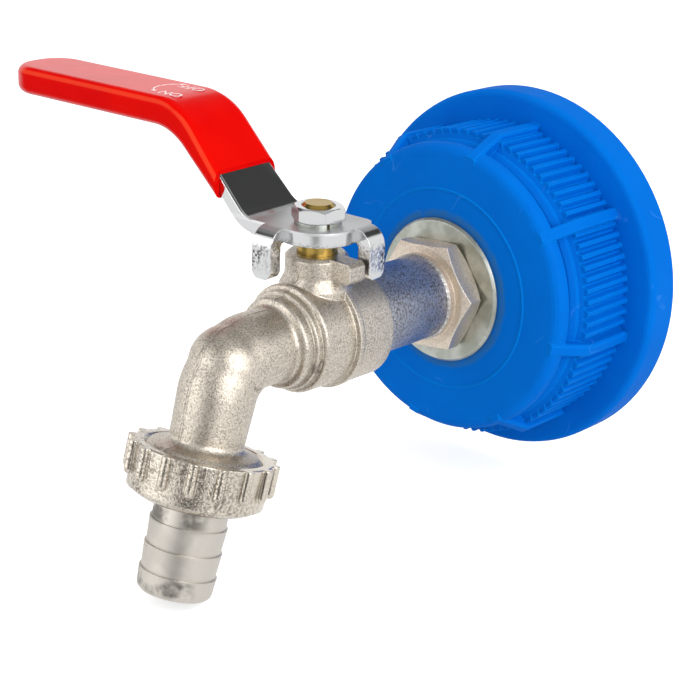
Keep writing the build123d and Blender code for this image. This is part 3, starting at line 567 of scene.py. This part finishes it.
def cast_nickel(scene):
    """Valve body, with the mould's parting line down its middle and a smooth elbow."""

    def shade(made, grain):
        place = made.split(made.where)
        wander = made.noise(made.where, 120.0)
        across = made.plus(place["X"], made.times(made.minus(wander, 0.5), 0.5 * MM))
        low = made.ramp(place["Z"], PARTING_LINE_Z, PARTING_LINE_Z + 2.0 * MM, 1.0, 0.0)
        ridge = made.times(made.band(across, 0.0, 0.12 * MM, 0.35 * MM), low)
        edge = made.times(made.band(across, 0.45 * MM, 0.05 * MM, 0.25 * MM), low)
        edge = made.times(edge, made.ramp(wander, 0.4, 0.56))
        dark = made.most(made.times(grain["Dark"], 0.66), made.times(edge, 0.75))
        return dark, made.plus(grain["Height"], made.times(ridge, 1.6))

    def soft(made):
        return made.total(0.5 * MM, (made.near(made.where, SPOUT, ELBOW_R, 5.0 * MM), 3.0 * MM))

    surfaces = scene.tap_surfaces
    return cast_finish("cast_nickel", scene, surfaces.body_grain, surfaces.grain_depth * 0.7, 0.34, shade,
                       soft)


def nut_nickel(scene):
    """Union nut: coarse grain with dark hollows on the ribbed band, less at its foot and on one side; the
    extra dark on the other side is a painted dark reflection.
    """

    def shade(made, grain):
        band = made.ramp(made.along(made.where, SPOUT, SPOUT_DIR), NUT_FOOT, NUT_FOOT + 2.1 * MM, 1.0, 0.3)
        # painted dark reflection: the grain grows darker away from one side of the nut
        side = made.ramp(made.along(made.where, SPOUT, NUT_AWAY_FROM_DARK_REFLECTION), -2.0 * MM, 9.0 * MM, 1.0, 0.3)
        patchy = made.ramp(grain["Patches"], 0.36, 0.62, 0.35, 1.0)
        dark = made.times(made.times(grain["Dark"], patchy), band)
        height = made.times(grain["Height"], made.times(band, side))
        return made.times(made.times(dark, side), 0.85), height

    surfaces = scene.tap_surfaces
    return cast_finish("nut_nickel", scene, surfaces.nut_grain, surfaces.grain_depth * 1.1, 0.2, shade)


def sanded_nickel(scene):
    """Connector: bright speckled shank, warmer milled hexagon."""
    colours, surfaces = scene.tap_colours, scene.tap_surfaces
    made = Finish("sanded_nickel")
    grain, edges, marks = made.grain(surfaces.nut_grain * 0.85), made.edges(0.35 * MM), made.marks(0.9 * MM)
    hexagon = made.ramp(made.split(made.where)["Y"], HEXAGON_Y, HEXAGON_Y + 0.4 * MM)
    pitted = made.times(grain["Dark"], made.ramp(hexagon, 0.0, 1.0, 0.85, 0.25))
    base = made.mix(hexagon, colours.shank, HEXAGON)
    base = made.mix(pitted, base, colours.cast_dark)
    base = made.cover(base, CONNECTOR_EDGE, edges["Edge"], 0.7)
    base = made.cover(base, CONNECTOR_SCRATCH, marks["Scratches"], 0.4)
    rough = made.total(0.29, (grain["Dark"], 0.16), (hexagon, 0.14))
    made.set(Base_Color=base, Metallic=1.0, Roughness=rough,
             Normal=made.bump(grain["Height"], surfaces.grain_depth * 1.2, edges["Normal"]))
    return made.material


def turned_nickel(scene):
    """Hose tail, lock nut and threads: lathe lines, with a dark stain at the tail's far end and painted
    shadow at its end under the union nut, on its front.
    """
    made = Finish("turned_nickel")
    lines = made.turning(SPOUT_DIR, scene.tap_surfaces.turning_pitch)
    edges, marks = made.edges(0.15 * MM), made.marks(1.6 * MM)
    along = made.along(made.where, SPOUT, SPOUT_DIR)
    # the band next to the union nut is painted shadow, the far band a stain
    ends = made.most(*[made.band(along, *stain) for stain in TAIL_STAIN_AND_SHADOW_BANDS])
    blots = made.ramp(made.noise(made.where, 150.0, 3.0, 0.6), 0.42, 0.6)
    front = made.ramp(made.along(made.where, SPOUT, SPOUT_FRONT), 1.0 * MM, 5.0 * MM)
    stain = made.times(made.times(blots, made.plus(ends, 0.14, clamp=True)), front)
    base = made.cover(scene.tap_colours.turned, TURNED_LINE, lines["Lines"], 0.35)
    # stains, and painted shadow under the union nut, on the tail's front
    base = made.cover(base, TAIL_STAIN_AND_SHADOW, stain, 0.75)
    base = made.cover(base, TURNED_SCRATCH, marks["Scratches"], 0.4)
    rough = made.total(0.36, (lines["Bands"], 0.14), (marks["Smudges"], 0.12))
    made.set(Base_Color=base, Metallic=1.0, Roughness=rough,
             Normal=made.bump(lines["Lines"], 0.01 * MM, edges["Normal"]))
    return made.material


def lever_chrome(scene):
    """Bright chrome: pitted stop tabs, and a satin hub with a smear of the sleeve's red."""
    made = Finish("lever_chrome")
    edges, marks, grain = made.edges(0.35 * MM), made.marks(0.9 * MM), made.grain(0.7 * MM)
    waves = made.noise(made.where, 140.0)
    level = made.split(made.where)["Z"]
    tabs = made.band(level, TAB_Z, 1.8 * MM, 2.6 * MM)
    inner = made.near(made.where, STEM + Vector((0, 0, TAB_Z)), TAB_INNER_R, 1.0 * MM)
    patchy = made.ramp(grain["Patches"], 0.38, 0.56, 0.45, 1.4)
    pits = made.times(made.times(tabs, made.minus(1.0, inner)), made.times(grain["Dark"], patchy))
    smear = made.near(made.where, lever_point(*HUB_SMEAR), 0.6 * MM, 1.4 * MM)
    smear = made.times(smear, made.ramp(waves, 0.35, 0.6))
    base = made.mix(pits, scene.tap_colours.chrome, CHROME_PIT)
    base = made.cover(base, CHROME_SMEAR, smear, 0.6)
    satin = made.band(level, HUB_TOP_Z, 0.3 * MM, 0.4 * MM)
    rough = made.total(0.1, (marks["Smudges"], 0.08), (pits, 0.25))
    rough = made.plus(made.times(satin, 0.32), rough)
    height = made.minus(waves, made.times(pits, 1.5))
    made.set(Base_Color=base, Metallic=1.0, Roughness=rough,
             Normal=made.bump(height, 0.035 * MM, edges["Normal"]))
    return made.material


def zinc_plate(scene):
    """Washers: dull grey-green plate with cloudy stains and bright edges."""
    made = Finish("zinc_plate")
    edges, marks = made.edges(0.3 * MM), made.marks(1.0 * MM)
    stain = made.ramp(made.noise(made.where, 190.0, 4.0, 0.6), 0.36, 0.66)
    fine = made.noise(made.where, 1500.0, 2.0, 0.6)
    base = made.cover(scene.tap_colours.zinc, ZINC_STAIN, stain, 0.7)
    base = made.cover(base, ZINC_EDGE, edges["Edge"], 0.6)
    rough = made.total(0.28, (fine, 0.14), (marks["Smudges"], 0.12))
    made.set(Base_Color=base, Metallic=1.0, Roughness=rough,
             Normal=made.bump(fine, 0.012 * MM, edges["Normal"]))
    return made.material


def stem_brass(scene):
    """Bare turned brass."""
    made = Finish("stem_brass")
    lines, marks = made.turning((0, 0, 1), 0.12 * MM), made.marks(0.6 * MM)
    base = made.cover(scene.tap_colours.brass, BRASS_BAND, lines["Bands"], 0.5)
    rough = made.total(0.16, (lines["Lines"], 0.15), (marks["Smudges"], 0.1))
    made.set(Base_Color=base, Metallic=1.0, Roughness=rough, Normal=made.bump(lines["Lines"], 0.01 * MM))
    return made.material


def black_rubber(scene):
    """Seals and gasket: dull black, with paler smudges."""
    made = Finish("black_rubber")
    fine = made.noise(made.where, 1800.0, 2.0, 0.6)
    base = made.cover(scene.tap_colours.rubber, RUBBER_SMUDGE, made.marks(1.0 * MM)["Smudges"], 0.5)
    made.set(Base_Color=base, Roughness=made.total(0.5, (fine, 0.2)), Normal=made.bump(fine, 0.02 * MM))
    return made.material


def white_seat(scene):
    """Ball seats and thrust washer: smooth white plastic."""
    made = Finish("white_seat")
    fine = made.noise(made.where, 2000.0, 2.0, 0.6)
    base = made.cover(scene.tap_colours.seat, SEAT_SMUDGE, made.marks(0.8 * MM)["Smudges"], 0.3)
    made.set(Base_Color=base, Roughness=made.total(0.35, (fine, 0.15)), Normal=made.bump(fine, 0.01 * MM))
    return made.material


def ball_chrome(scene):
    """Ball: polished chrome with fine scratches."""
    made = Finish("ball_chrome")
    marks = made.marks(0.7 * MM)
    base = made.cover(scene.tap_colours.chrome, BALL_SCRATCH, marks["Scratches"], 0.4)
    made.set(Base_Color=base, Metallic=1.0, Roughness=made.total(0.07, (marks["Smudges"], 0.12)),
             Normal=made.bump(marks["Scratches"], -0.01 * MM))
    return made.material


def mark_print(scene):
    """Print on the sleeve, worn through in places."""
    made = Finish("mark_print")
    wear = made.noise(made.where, 1500.0, 3.0, 0.6)
    base = made.mix(made.ramp(wear, 0.42, 0.62), scene.tap_colours.mark, MARK_WORN)
    made.set(Base_Color=base, Roughness=made.total(0.35, (wear, 0.2)))
    return made.material


FINISHES = {
    "cap_plastic": cap_plastic,
    "sleeve_vinyl": sleeve_vinyl,
    "cast_nickel": cast_nickel,
    "nut_nickel": nut_nickel,
    "sanded_nickel": sanded_nickel,
    "turned_nickel": turned_nickel,
    "lever_chrome": lever_chrome,
    "zinc_plate": zinc_plate,
    "stem_brass": stem_brass,
    "black_rubber": black_rubber,
    "white_seat": white_seat,
    "ball_chrome": ball_chrome,
    "mark_print": mark_print,
}


def finish_of(name):
    """The named material, made once."""
    made = bpy.data.materials.get(name + FINISH_TAG)
    return made or FINISHES[name](bpy.context.scene)


def dress(*nodes, finish=None):
    """Gives CAD nodes a finish, or that of their own slot in the record."""
    slots = {part["node"]: part["material_slot"] for part in frame["record"]["subparts"]}
    for node in nodes:
        target = NODES[node]
        target.data.materials.clear()
        target.data.materials.append(finish_of(finish or slots[node]))


# Pieces made here


def new_piece(name, vertices, faces, finish, body, slot):
    """Mesh object with its finish, riding on a body."""
    mesh = bpy.data.meshes.new(name)
    mesh.from_pydata([tuple(v) for v in vertices], [], faces)
    mesh.update()
    piece = bpy.data.objects.new(name, mesh)
    bpy.context.scene.collection.objects.link(piece)
    mesh.materials.append(finish_of(finish))
    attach(piece, body)
    return piece


def face_outwards(mesh):
    """Turns the faces of closed shapes outwards."""
    shell = bmesh.new()
    shell.from_mesh(mesh)
    bmesh.ops.recalc_face_normals(shell, faces=shell.faces)
    shell.to_mesh(mesh)
    shell.free()


def helix_ridge(name, start, axis, wall_r, height, pitch, turns, widths, look, steps=RIDGE_STEPS):
    """Thread ridge on a wall about an axis. Height below zero stands inwards. It fades out at both ends.

    widths are the ridge's share of the pitch at its foot and at its crest. look is its finish, its body
    and its slot, which is not used.
    """
    axis = Vector(axis).normalized()
    side = axis.orthogonal().normalized()
    other = axis.cross(side)
    foot, crest = widths[0] * pitch / 2, widths[1] * pitch / 2
    foot_r = wall_r - math.copysign(RIDGE_SUNK, height)
    last = int(turns * steps)
    vertices = []
    for k in range(last + 1):
        turn = k / steps
        share = max(RIDGE_LEAST, min(1.0, turn / RIDGE_FADE, (turns - turn) / RIDGE_FADE))
        angle = 2 * math.pi * turn
        out = side * math.cos(angle) + other * math.sin(angle)
        middle = Vector(start) + axis * (pitch * turn)
        crest_r = wall_r + height * share
        for offset, radius in ((-foot, foot_r), (-crest, crest_r), (crest, crest_r), (foot, foot_r)):
            vertices.append(middle + axis * offset + out * radius)
    faces = [(a + j, a + (j + 1) % 4, a + 4 + (j + 1) % 4, a + 4 + j)
             for a in range(0, 4 * last, 4) for j in range(4)]
    faces += [(0, 1, 2, 3), (4 * last + 3, 4 * last + 2, 4 * last + 1, 4 * last)]
    if height < 0:  # an inward ridge is wound the other way
        faces = [tuple(reversed(face)) for face in faces]
    piece = new_piece(name, vertices, faces, *look)
    face_outwards(piece.data)
    piece.data.shade_smooth()
    piece.data.set_sharp_from_angle(angle=RIDGE_SHARP)
    return piece


MARK_LOOK = ("mark_print", "handle", "sleeve_vinyl")


def word_piece(name, text, middle, height, thickness):
    """State word lying on the sleeve, read from the hub towards the tip."""
    curve = bpy.data.curves.new(name, "FONT")
    curve.body = text
    curve.size = height * FONT_SCALE
    curve.align_x = "CENTER"
    curve.align_y = "CENTER"
    curve.extrude = thickness / 2
    curve.resolution_u = FONT_STEPS
    holder = bpy.data.objects.new(name + "_text", curve)
    bpy.context.scene.collection.objects.link(holder)
    bpy.context.view_layer.update()
    mesh = bpy.data.meshes.new_from_object(holder.evaluated_get(bpy.context.evaluated_depsgraph_get()))
    bpy.data.objects.remove(holder)
    turn = Matrix.Rotation(math.pi, 4, "Z")
    vertices = [lever_point(*((turn @ v.co) / MM + Vector(middle))) for v in mesh.vertices]
    faces = [tuple(p.vertices) for p in mesh.polygons]
    bpy.data.meshes.remove(mesh)
    return new_piece(name, vertices, faces, *MARK_LOOK)


def arrow_piece(name, line, lift):
    """Flat arc with an arrowhead at each end, lying on the sleeve. line and lift are in millimetres."""
    start, end = ARROW_ANGLES
    levels = (SLEEVE_TOP - lift, SLEEVE_TOP + lift)
    vertices, faces = [], []
    for k in range(ARROW_STEPS + 1):
        angle = math.radians(start + (end - start) * k / ARROW_STEPS)
        for r in (ARROW_R - line / 2, ARROW_R + line / 2):
            spot = (ARROW_CENTRE[0] + r * math.cos(angle), ARROW_CENTRE[1] + r * math.sin(angle))
            vertices += [lever_point(*spot, z) for z in levels]
    for k in range(ARROW_STEPS):
        a, b = 4 * k, 4 * k + 4
        faces += [(a + 1, a + 3, b + 3, b + 1), (a, b, b + 2, a + 2)]
        faces += [(a, a + 1, b + 1, b), (a + 2, b + 2, b + 3, a + 3)]
    turning = 1 if end > start else -1
    for angle, way in ((math.radians(start), -turning), (math.radians(end), turning)):
        out = Vector((math.cos(angle), math.sin(angle)))
        ahead = Vector((-out.y, out.x)) * way
        middle = Vector(ARROW_CENTRE) + out * ARROW_R
        wing = out * ARROW_HEAD * 0.5
        base = len(vertices)
        for spot in (middle + ahead * ARROW_HEAD, middle + wing, middle - wing):
            vertices += [lever_point(spot.x, spot.y, z) for z in levels]
        faces += [(base + 1, base + 3, base + 5), (base, base + 4, base + 2)]
        faces += [(base + i, base + j, base + j + 1, base + i + 1) for i, j in ((0, 2), (2, 4), (4, 0))]
    piece = new_piece(name, vertices, faces, *MARK_LOOK)
    face_outwards(piece.data)
    return piece


# Operators


class TAP_OT_cap(bpy.types.Operator):
    """Finish the screw cap and its gasket and cut the canister's thread"""

    bl_idname = "tap.cap"
    bl_label = "Screw cap"

    def execute(self, context):
        sizes = context.scene.tap_sizes
        dress("screw_cap", "cap_gasket")
        helix_ridge("neck_thread", NECK_START, CAP_AXIS, NECK_WALL_R, -sizes.neck_height, sizes.neck_pitch,
                    sizes.neck_turns, NECK_WIDTHS, ("cap_plastic", "tap", "cap_plastic"), NECK_STEPS)
        return {"FINISHED"}


class TAP_OT_clamp(bpy.types.Operator):
    """Finish the washers, the seal and the nut that clamp the cap"""

    bl_idname = "tap.clamp"
    bl_label = "Clamping pieces"

    def execute(self, context):
        dress("front_washer", "rear_washer", "rear_seal", "rear_nut")
        return {"FINISHED"}


class TAP_OT_valve(bpy.types.Operator):
    """Finish the valve body and the connector and cut their pipe threads"""

    bl_idname = "tap.valve"
    bl_label = "Valve body and connector"

    def execute(self, context):
        sizes = context.scene.tap_sizes
        look = ("turned_nickel", "tap", "cast_nickel")
        dress("valve_body")
        dress("inlet_connector", finish="sanded_nickel")
        helix_ridge("spout_thread", SPOUT_THREAD_START, SPOUT_DIR, SPOUT_THREAD_R, sizes.pipe_height,
                    sizes.pipe_pitch, SPOUT_THREAD_TURNS, PIPE_WIDTHS, look)
        helix_ridge("connector_thread", CONNECTOR_THREAD_START, CAP_AXIS, CONNECTOR_THREAD_R,
                    sizes.pipe_height, sizes.pipe_pitch, CONNECTOR_THREAD_TURNS, PIPE_WIDTHS, look)
        return {"FINISHED"}


class TAP_OT_inside(bpy.types.Operator):
    """Finish the ball, its seats, the stem and its seals"""

    bl_idname = "tap.inside"
    bl_label = "Ball, seats and stem"

    def execute(self, context):
        dress("ball", "inlet_seat", "outlet_seat", "stem", "thrust_washer", "lower_o_ring", "upper_o_ring")
        return {"FINISHED"}


class TAP_OT_lever(bpy.types.Operator):
    """Finish the lever, its nut and its spring washer"""

    bl_idname = "tap.lever"
    bl_label = "Lever"

    def execute(self, context):
        dress("lever", "lever_nut", "lever_lock_washer")
        return {"FINISHED"}


class TAP_OT_sleeve(bpy.types.Operator):
    """Finish the lever's sleeve and print its marking"""

    bl_idname = "tap.sleeve"
    bl_label = "Sleeve and marking"

    def execute(self, context):
        sizes = context.scene.tap_sizes
        dress("lever_sleeve")
        word_piece("mark_open", "ON", OPEN_WORD_AT, sizes.letter_height, 2 * sizes.mark_height)
        word_piece("mark_shut", "OFF", SHUT_WORD_AT, sizes.letter_height, 2 * sizes.mark_height)
        arrow_piece("mark_arrow", sizes.mark_line / MM, sizes.mark_height / MM)
        return {"FINISHED"}


class TAP_OT_union(bpy.types.Operator):
    """Finish the union nut, the hose tail and their seal"""

    bl_idname = "tap.union"
    bl_label = "Union and hose tail"

    def execute(self, context):
        dress("union_nut", finish="nut_nickel")
        dress("hose_tail", "union_seal")
        return {"FINISHED"}


def soft_box(name, spot, power, mirrored=True):
    """Area light that faces the tap's middle, seen in shiny surfaces if mirrored."""
    lamp = bpy.data.lights.new(name, "AREA")
    lamp.shape = "RECTANGLE"
    lamp.size, lamp.size_y = LAMP_SIZE
    lamp.energy = power
    holder = bpy.data.objects.new(name, lamp)
    holder.location = spot
    holder.rotation_euler = (Vector(MIDDLE) - Vector(spot)).to_track_quat("-Z", "Y").to_euler()
    holder.visible_glossy = mirrored
    bpy.context.scene.collection.objects.link(holder)


def studio_world(strength):
    """White room. Metal sees its dark ceiling, and a dark patch on the side that the room is seen from."""
    world = bpy.data.worlds.new("studio")
    bpy.context.scene.world = world
    world.use_nodes = True
    tree = Tree(world.node_tree)
    way = tree.add("ShaderNodeTexCoord").outputs["Generated"]
    up = tree.split(way)["Z"]
    ceiling = tree.times(tree.ramp(up, 0.48, 0.57, 0.0, 0.94), tree.ramp(up, 0.68, 0.9, 1.0, 0.45))
    dark = tree.most(ceiling, tree.ramp(tree.dot(way, DARK_SIDE), 0.88, 0.97))
    path = tree.add("ShaderNodeLightPath").outputs
    glossy = path["Is Glossy Ray"]
    seen = tree.plus(tree.plus(path["Is Camera Ray"], glossy), path["Is Transmission Ray"], clamp=True)
    level = tree.add("ShaderNodeMix", {"data_type": "FLOAT"}, in_0=seen, in_2=strength, in_3=1.0).outputs[0]
    background = world.node_tree.nodes["Background"].inputs
    tree.put(background["Strength"], tree.times(level, tree.minus(1.0, tree.times(dark, glossy))))
    tree.put(background["Color"], (1, 1, 1, 1))


def floor_finish():
    """White floor that keeps the shadow. Metal sees the room through it."""
    material = bpy.data.materials.new("floor_white")
    material.use_nodes = True
    tree = Tree(material.node_tree)
    material.node_tree.nodes.remove(material.node_tree.nodes["Principled BSDF"])
    path = tree.add("ShaderNodeLightPath").outputs
    matte = tree.add("ShaderNodeBsdfDiffuse", Color=FLOOR_GREY).outputs[0]
    glow = tree.add("ShaderNodeEmission", Strength=tree.times(path["Is Camera Ray"], FLOOR_GLOW)).outputs[0]
    both = tree.add("ShaderNodeAddShader", in_0=matte, in_1=glow).outputs[0]
    through = tree.add("ShaderNodeBsdfTransparent").outputs[0]
    mixed = tree.add("ShaderNodeMixShader", in_0=path["Is Glossy Ray"], in_1=both, in_2=through).outputs[0]
    tree.put(material.node_tree.nodes["Material Output"].inputs["Surface"], mixed)
    return material


def studio_camera(lens):
    """Camera at the photograph's place, looking its way."""
    camera = bpy.data.cameras.new("camera")
    camera.sensor_width = SENSOR_WIDTH
    camera.lens = lens
    camera.clip_start = CLIP_START
    holder = bpy.data.objects.new("camera", camera)
    turn = Matrix((CAMERA_RIGHT, CAMERA_UP, CAMERA_BACK)).transposed().to_quaternion().to_matrix().to_4x4()
    holder.matrix_world = Matrix.Translation(CAMERA_AT) @ turn
    bpy.context.scene.collection.objects.link(holder)
    bpy.context.scene.camera = holder


class TAP_OT_stage(bpy.types.Operator):
    """Set the floor, the lights and the camera"""

    bl_idname = "tap.stage"
    bl_label = "Stage"

    def execute(self, context):
        studio = context.scene.tap_studio
        low = CAD_BOX[0].z - FLOOR_DROP
        corners = [(x * FLOOR_HALF, y * FLOOR_HALF, low) for x, y in ((-1, -1), (1, -1), (1, 1), (-1, 1))]
        mesh = bpy.data.meshes.new("floor")
        mesh.from_pydata(corners, [], [(0, 1, 2, 3)])
        mesh.materials.append(floor_finish())
        floor = bpy.data.objects.new("floor", mesh)
        context.scene.collection.objects.link(floor)
        studio_world(studio.world)
        soft_box("key", KEY_AT, studio.key)
        soft_box("fill", FILL_AT, studio.fill)
        soft_box("top", TOP_AT, studio.top, mirrored=False)
        studio_camera(studio.lens)
        context.scene.view_settings.view_transform = "Standard"
        return {"FINISHED"}


class TAP_PT_panel(bpy.types.Panel):
    """Lists the tap's settings and steps in the sidebar"""

    bl_idname = "TAP_PT_panel"
    bl_label = "Canister tap"
    bl_space_type = "VIEW_3D"
    bl_region_type = "UI"
    bl_category = "Canister tap"

    def draw(self, context):
        layout = self.layout
        for setting in SETTINGS:
            group = getattr(context.scene, setting)
            box = layout.box()
            for name in group.__annotations__:
                box.prop(group, name)
        for step in STEPS:
            layout.operator(step.bl_idname)


SETTINGS = {
    "tap_sizes": TapSizes,
    "tap_surfaces": TapSurfaces,
    "tap_colours": TapColours,
    "tap_studio": TapStudio,
}
STEPS = (TAP_OT_cap, TAP_OT_clamp, TAP_OT_valve, TAP_OT_inside, TAP_OT_lever, TAP_OT_sleeve, TAP_OT_union,
         TAP_OT_stage)
CLASSES = (*SETTINGS.values(), *STEPS, TAP_PT_panel)


def register():
    for each in CLASSES:
        bpy.utils.register_class(each)
    for name, group in SETTINGS.items():
        setattr(bpy.types.Scene, name, PointerProperty(type=group))


def unregister():
    for name in SETTINGS:
        delattr(bpy.types.Scene, name)
    for each in reversed(CLASSES):
        bpy.utils.unregister_class(each)


def main():
    """Builds the looks."""
    register()
    for step in STEPS:
        getattr(bpy.ops.tap, step.bl_idname.split(".")[1])()


if __name__ == "__main__":
    main()
